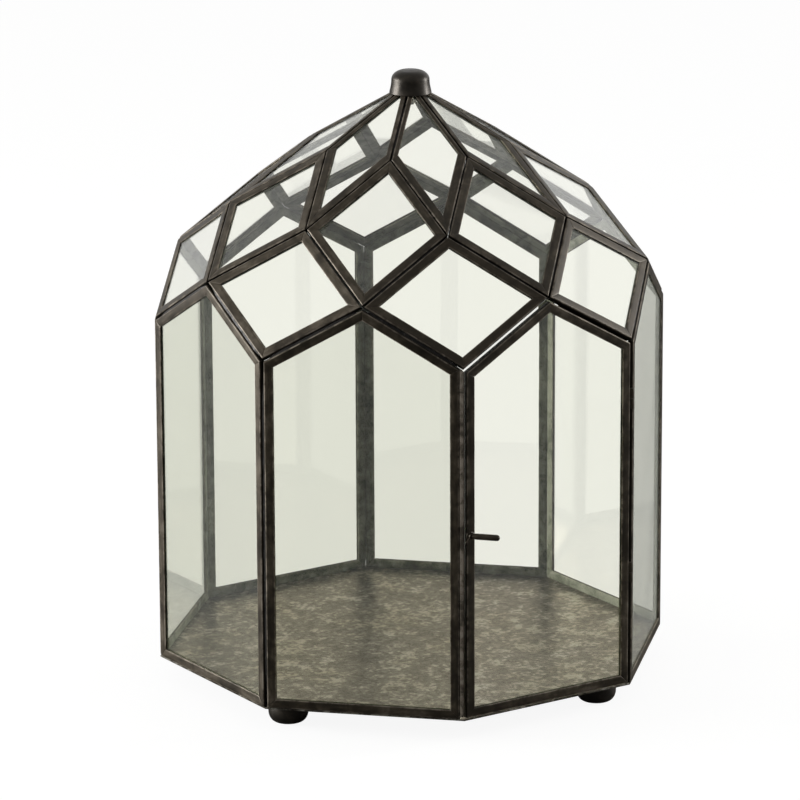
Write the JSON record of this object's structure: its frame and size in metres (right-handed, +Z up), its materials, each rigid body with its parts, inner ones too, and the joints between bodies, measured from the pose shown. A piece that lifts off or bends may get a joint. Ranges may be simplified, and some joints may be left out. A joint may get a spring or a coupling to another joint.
{
  "type": "glass cloche",
  "caption": "Octagonal glass cloche of metal-framed panes with a faceted dome, turned knob, zinc floor, bun feet and one wall pane that opens as a latched door.",
  "frame": {"origin": "on the plane the feet stand on, on the vertical axis of the octagon", "axes": "+Z up through the knob; the door faces -Y, with its hinge on the +X side"},
  "size_m": [0.2842, 0.2988, 0.3639],
  "materials": {
    "came": "dark patina, satin, rubbed lighter on the folds",
    "glass": "clear, thin and slightly wavy",
    "zinc": "aged zinc sheet, mottled grey-brown, semi-gloss",
    "solder": "patinated solder, uneven",
    "turned_metal": "dark, polished, glossy",
    "steel": "plain steel"
  },
  "bodies": {
    "house": {"base_plate": "zinc", "foot_front_right": "turned_metal", "foot_rear_right": "turned_metal", "foot_rear_left": "turned_metal", "foot_front_left": "turned_metal", "foot_studs": "steel", "wall_glass": "glass", "lower_roof_glass": "glass", "middle_roof_glass": "glass", "upper_roof_glass": "glass", "wall_frame_1": "came", "wall_frame_2": "came", "wall_frame_3": "came", "wall_frame_4": "came", "wall_frame_5": "came", "wall_frame_6": "came", "wall_frame_7": "came", "lower_roof_frame_1": "came", "lower_roof_frame_2": "came", "lower_roof_frame_3": "came", "lower_roof_frame_4": "came", "lower_roof_frame_5": "came", "lower_roof_frame_6": "came", "lower_roof_frame_7": "came", "lower_roof_frame_8": "came", "middle_roof_frame_1": "came", "middle_roof_frame_2": "came", "middle_roof_frame_3": "came", "middle_roof_frame_4": "came", "middle_roof_frame_5": "came", "middle_roof_frame_6": "came", "middle_roof_frame_7": "came", "middle_roof_frame_8": "came", "upper_roof_frame_1": "came", "upper_roof_frame_2": "came", "upper_roof_frame_3": "came", "upper_roof_frame_4": "came", "upper_roof_frame_5": "came", "upper_roof_frame_6": "came", "upper_roof_frame_7": "came", "upper_roof_frame_8": "came", "wall_solder": "solder", "eave_solder": "solder", "roof_solder": "solder", "finial": "turned_metal", "finial_stud": "steel", "finial_washer": "steel", "finial_nut": "steel", "door_stop": "solder", "closing_strip": "came", "hinge_post_barrels": "came", "hinge_pins": "steel"},
    "door": {"door_frame": "came", "door_glass": "glass", "hinge_door_barrels": "came", "latch_boss": "came"},
    "latch": {"latch_handle": "came", "latch_spindle": "steel", "latch_tongue": "came"}
  },
  "joints": [
    {"name": "door_swing", "type": "hinge", "parent": "house", "child": "door", "pos_m": [0.05859, -0.14145, 0.135], "axis": [0, 0, 1], "range_deg": [0, 160]},
    {"name": "latch_turn", "type": "hinge", "parent": "door", "child": "latch", "pos_m": [-0.0553, -0.14208, 0.1245], "axis": [0, 1, 0], "range_deg": [0, 90]}
  ]
}
